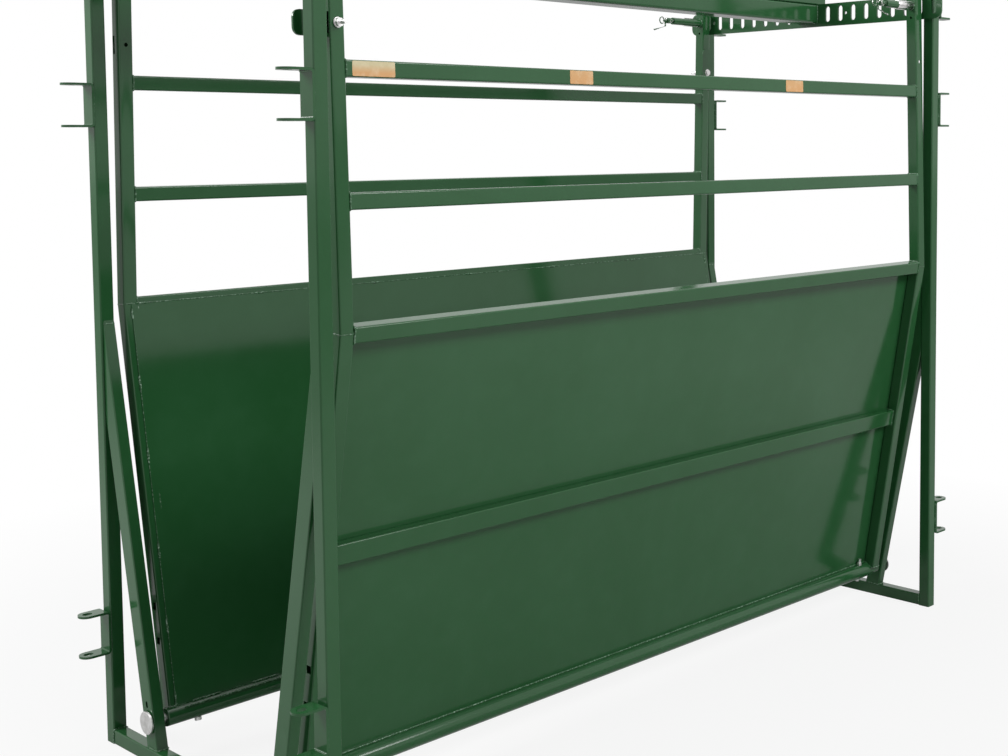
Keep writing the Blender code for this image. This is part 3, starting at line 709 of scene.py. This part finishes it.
class ALLEY_OT_panel_welds(Operator):
    """Weld beads on both side panels"""

    bl_idname = "alley.panel_welds"
    bl_label = "Weld the panels"

    def execute(self, context):
        material = powder_coat("coat_weld_panel", ripple=0.0002, chalk=0.9)
        # The stitches get the strongest painted highlights: dense pale flecks that stand in for
        # glints
        bright = powder_coat("coat_stitch", ripple=0.0003, chalk=1.0, highlight_fleck=0.9)
        for side, turn in SIDES.items():
            beads = Beads(side + "_beads")
            for rail in ("rail_1", "rail_2", "sheet_rail", "mid_rail"):
                for sign in (1, -1):
                    beads.add(end_loop(f"{side}_{rail}", X_AXIS * sign), True)
            for end, way in ENDS.items():
                barrel = f"{end}_{side}_latch_body"
                beads.add(end_loop(barrel, X_AXIS * way), True, 0.9)
                beads.add(cope_loop(f"{end}_{side}_post", side + "_pipe"), True)
                bend = bend_points(f"{end}_{side}_post")
                beads.add(hull_loop(bend, Z_AXIS), True, 0.48)
            stitches = Beads(side + "_stitches")
            add_stitches(beads, stitches, side, turn)
            beads.finish(side + "_panel_welds", material, side + "_panel")
            stitches.finish(side + "_stitches", bright, side + "_panel")
        return {"FINISHED"}


def cope_loop(post, pipe):
    """Outline of a post's coped foot, from the lowest point of each of its edges."""
    low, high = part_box(pipe)
    middle = (low + high) / 2
    radius = (high.z - low.z) / 2
    lowest = {}
    for point in corners_of(post):
        away = Vector((0, point.y - middle.y, point.z - middle.z)).length
        if point.z >= high.z + COPE_RISE or away >= radius + COPE_REACH:
            continue
        key = (round(point.x, 4), round(point.y, 3))
        if key not in lowest or point.z < lowest[key].z:
            lowest[key] = point
    slope = Vector((0, COPE_SLOPE * math.copysign(1, middle.y), 1))
    return hull_loop(list(lowest.values()), slope)


def add_stitches(beads, stitches, side, turn):
    """Short welds round the sheet on the alley side, where it laps posts, rail and pipe."""
    weld = beads.weld
    inward = Vector((0, -turn * math.cos(LOWER_SLOPE), math.sin(LOWER_SLOPE)))
    points = corners_of(side + "_sheet")
    face = max(point.dot(inward) for point in points)
    points = [point for point in points if point.dot(inward) > face - FACE_DEPTH]
    across = [min(point.x for point in points), max(point.x for point in points)]
    top = max(points, key=lambda point: point.z)
    foot = min(points, key=lambda point: point.z)
    drop = inward * -BEAD_SINK
    for x in across:
        high = Vector((x, top.y, top.z)) + drop
        low = Vector((x, foot.y, foot.z)) + drop
        beads.add([high.lerp(low, 0.01), high.lerp(low, 0.99)], size=0.38)
        for share in END_STITCHES:
            shorter = 0.7 if share == END_STITCHES[0] else 1.0
            run_stitch(stitches, high, low, share, weld.stitch * shorter)
    ends = [Vector((x, top.y, top.z)) + drop for x in across]
    beads.add(ends, size=0.6)
    for share in TOP_STITCHES:
        run_stitch(beads, *ends, share, weld.stitch * 0.8)
    ends = [Vector((x, foot.y, foot.z)) + drop for x in across]
    beads.add([point - inward * FOOT_SINK for point in ends], size=0.9)
    for index in range(weld.stitches):
        run_stitch(beads, *ends, (index + 0.5) / weld.stitches, weld.stitch * 2.0)
    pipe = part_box(side + "_pipe")
    radius = (pipe[1].z - pipe[0].z) / 2
    middle = (pipe[0] + pipe[1]) / 2
    bead = weld.bead * 0.9
    rise = Vector((0, turn * math.sin(LOWER_SLOPE), math.cos(LOWER_SLOPE)))
    crease = middle + inward * (radius - bead) + rise * (2 * math.sqrt(radius * bead))
    beads.add([Vector((x * PIPE_SHARE, crease.y, crease.z)) for x in across], size=0.9)


def run_stitch(beads, start, stop, share, long):
    """One short weld centred at a share of the way from start to stop."""
    run = (stop - start).normalized() * (long / 2)
    middle = start.lerp(stop, share)
    beads.add([middle - run, middle + run], size=1.15)


class ALLEY_OT_latch_covers(Operator):
    """Bright half covers on the outer side of the latch barrels"""

    bl_idname = "alley.latch_covers"
    bl_label = "Cover the latch barrels"

    def execute(self, context):
        material = zinc_plate("zinc_cover", bright=0.8)
        long = context.scene.alley_fittings.cover
        for end, way in ENDS.items():
            for side, turn in SIDES.items():
                name = f"{end}_{side}_latch_body"
                low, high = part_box(name)
                middle = (low + high) / 2
                radius = (high.z - low.z) / 2
                start = high.x if way > 0 else low.x
                foot = radius + COVER_GAP
                shoulder = radius + COVER_SHOULDER
                outer = radius + COVER_OUTER
                outline = [
                    (COVER_START, foot), (COVER_START, shoulder),
                    (COVER_START + COVER_ROUND, outer), (long - COVER_ROUND, outer),
                    (long, shoulder), (long, foot),
                ]
                axis = X_AXIS * -way
                first = Matrix.Rotation(COVER_FIRST * way * turn, 3, axis) @ Z_AXIS
                centre = Vector((start, middle.y, middle.z))
                bm = turned(outline, centre, axis, COVER_WRAP * way * turn, COVER_STEPS, first)
                ready(f"{end}_{side}_latch_cover", bm, material, side + "_panel")
        return {"FINISHED"}


class ALLEY_OT_patches(Operator):
    """Plain pale patches on the right panel's upper rail"""

    bl_idname = "alley.patches"
    bl_label = "Stick the plain patches"

    def execute(self, context):
        low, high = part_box("right_rail_1")
        centre = (low + high) / 2
        normal = Vector((0, -math.cos(UPPER_LEAN), math.sin(UPPER_LEAN)))
        rise = Vector((0, math.sin(UPPER_LEAN), math.cos(UPPER_LEAN)))
        half = PATCH_TALL / 2
        for index, (start, stop) in enumerate(PATCHES):
            middle = Vector(((start + stop) / 2, centre.y, centre.z))
            middle += normal * (HALF_TUBE + PATCH_GAP)
            bm = bmesh.new()
            bmesh.ops.create_grid(bm, x_segments=1, y_segments=1, size=0.5)
            bmesh.ops.scale(bm, vec=(stop - start, PATCH_TALL, 1), verts=bm.verts)
            bmesh.ops.bevel(
                bm, geom=bm.verts[:], affect="VERTICES", offset=PATCH_ROUND, segments=3,
                profile=0.5, material=-1,
            )
            made = bmesh.ops.extrude_face_region(bm, geom=bm.faces[:])
            lifted = [item for item in made["geom"] if isinstance(item, bmesh.types.BMVert)]
            bmesh.ops.translate(bm, vec=(0, 0, PATCH_THICK), verts=lifted)
            turn = Matrix((X_AXIS, rise, normal)).transposed().to_4x4()
            bmesh.ops.transform(bm, matrix=Matrix.Translation(middle) @ turn, verts=bm.verts)
            bmesh.ops.recalc_face_normals(bm, faces=bm.faces)
            ends = (centre.z - half, centre.z + half)
            vinyl = patch_vinyl(f"vinyl_{index + 1}", *ends, fades=index == 0)
            ready(f"plain_patch_{index + 1}", bm, vinyl, "right_panel")
        return {"FINISHED"}


class ALLEY_OT_stage(Operator):
    """Floor, soft light and the camera"""

    bl_idname = "alley.stage"
    bl_label = "Set the stage"

    def execute(self, context):
        stage = context.scene.alley_stage
        self.make_floor(stage)
        self.make_sky(context.scene, stage)
        for name, (where, size) in LAMPS.items():
            self.make_lamp(name, getattr(stage, name), where, size)
        self.make_camera(context.scene)
        return {"FINISHED"}

    def make_floor(self, stage):
        """Matt floor that the camera sees mostly as white, with the shadow kept near the alley."""
        bm = bmesh.new()
        bmesh.ops.create_grid(bm, x_segments=1, y_segments=1, size=FLOOR_REACH)
        mesh = bpy.data.meshes.new("floor")
        bm.to_mesh(mesh)
        bm.free()
        make = Recipe("floor")
        grain = make.noise(40.0, 3.0, 0.6)
        tint = make.blend(make.ramp(grain, 0.3, 0.7) * 0.15, rgba(stage.floor), FLOOR_GRAIN)
        matt = make.node("ShaderNodeBsdfPrincipled", None, {"Base Color": tint, "Roughness": 0.9})
        glow = make.node("ShaderNodeEmission", None, {"Color": WHITE, "Strength": 1.0})
        away = make.vector("LENGTH", make.place())
        far = make.ramp(away * FADE_SCALE, *FADE_SPAN)
        near = NEAR_WHITE + far * (1 - NEAR_WHITE)
        share = near * make.path("Is Camera Ray") + far * make.path("Is Glossy Ray") * FAR_GLOSS
        mixed = make.node("ShaderNodeMixShader", None, {0: share, 1: matt, 2: glow})
        make.node("ShaderNodeOutputMaterial", None, {"Surface": mixed})
        mesh.materials.append(make.material)
        floor = bpy.data.objects.new("floor", mesh)
        bpy.context.scene.collection.objects.link(floor)

    def make_sky(self, scene, stage):
        """White where the camera, gloss or glass sees it, and an even light elsewhere."""
        world = bpy.data.worlds.new("sky")
        world.use_nodes = True
        scene.world = world
        make = Recipe("sky", world.node_tree)

        def glow(strength):
            sockets = {"Color": WHITE, "Strength": strength}
            return make.node("ShaderNodeBackground", None, sockets)

        seen = make.path("Is Camera Ray").most(make.path("Is Glossy Ray"))
        seen = seen.most(make.path("Is Transmission Ray"))
        sockets = {0: seen, 1: glow(stage.sky), 2: glow(1.0)}
        mixed = make.node("ShaderNodeMixShader", None, sockets)
        make.node("ShaderNodeOutputWorld", None, {"Surface": mixed})

    def make_lamp(self, name, power, where, size):
        lamp = bpy.data.lights.new(name, "AREA")
        lamp.shape = "RECTANGLE"
        lamp.size, lamp.size_y = size
        lamp.energy = power
        obj = bpy.data.objects.new(name, lamp)
        obj.location = where
        aim = LAMP_AIM - Vector(where)
        obj.rotation_euler = aim.to_track_quat("-Z", "Y").to_euler()
        obj.visible_camera = False
        bpy.context.scene.collection.objects.link(obj)

    def make_camera(self, scene):
        data = bpy.data.cameras.new("camera")
        camera = bpy.data.objects.new("camera", data)
        scene.collection.objects.link(camera)
        yaw, pitch, roll = (math.radians(angle) for angle in CAMERA_TURN)
        forward = Vector((
            math.sin(yaw) * math.cos(pitch), math.cos(yaw) * math.cos(pitch), -math.sin(pitch),
        ))
        right = Vector((math.cos(yaw), -math.sin(yaw), 0))
        down = forward.cross(right)
        right, down = (
            math.cos(roll) * right + math.sin(roll) * down,
            -math.sin(roll) * right + math.cos(roll) * down,
        )
        turn = Matrix((right, -down, -forward)).transposed().to_4x4()
        camera.matrix_world = Matrix.Translation(CAMERA_PLACE) @ turn
        data.sensor_fit = "HORIZONTAL"
        data.sensor_width = CAMERA_SENSOR
        data.lens = CAMERA_LENS
        data.shift_x, data.shift_y = CAMERA_SHIFT
        data.clip_end = CAMERA_REACH
        scene.camera = camera
        scene.view_settings.view_transform = "Standard"


class ALLEY_PT_panel(Panel):
    """Lists the alley's steps"""

    bl_idname = "ALLEY_PT_panel"
    bl_label = "Livestock alley"
    bl_space_type = "VIEW_3D"
    bl_region_type = "UI"
    bl_category = "Alley"

    def draw(self, context):
        for step in STEPS:
            self.layout.operator(step.bl_idname)
        for name, group in GROUPS.items():
            box = self.layout.box()
            for field in group.__annotations__:
                box.prop(getattr(context.scene, name), field)


STEPS = (
    ALLEY_OT_steelwork,
    ALLEY_OT_zinc,
    ALLEY_OT_frame_welds,
    ALLEY_OT_panel_welds,
    ALLEY_OT_latch_covers,
    ALLEY_OT_patches,
    ALLEY_OT_stage,
)


def register():
    for group in (*GROUPS.values(), *STEPS, ALLEY_PT_panel):
        bpy.utils.register_class(group)
    for name, group in GROUPS.items():
        setattr(bpy.types.Scene, name, PointerProperty(type=group))


def unregister():
    for name in GROUPS:
        delattr(bpy.types.Scene, name)
    for group in (ALLEY_PT_panel, *reversed(STEPS), *GROUPS.values()):
        bpy.utils.unregister_class(group)


def main():
    register()
    for step in STEPS:
        area, action = step.bl_idname.split(".")
        getattr(getattr(bpy.ops, area), action)()


if __name__ == "__main__":
    main()
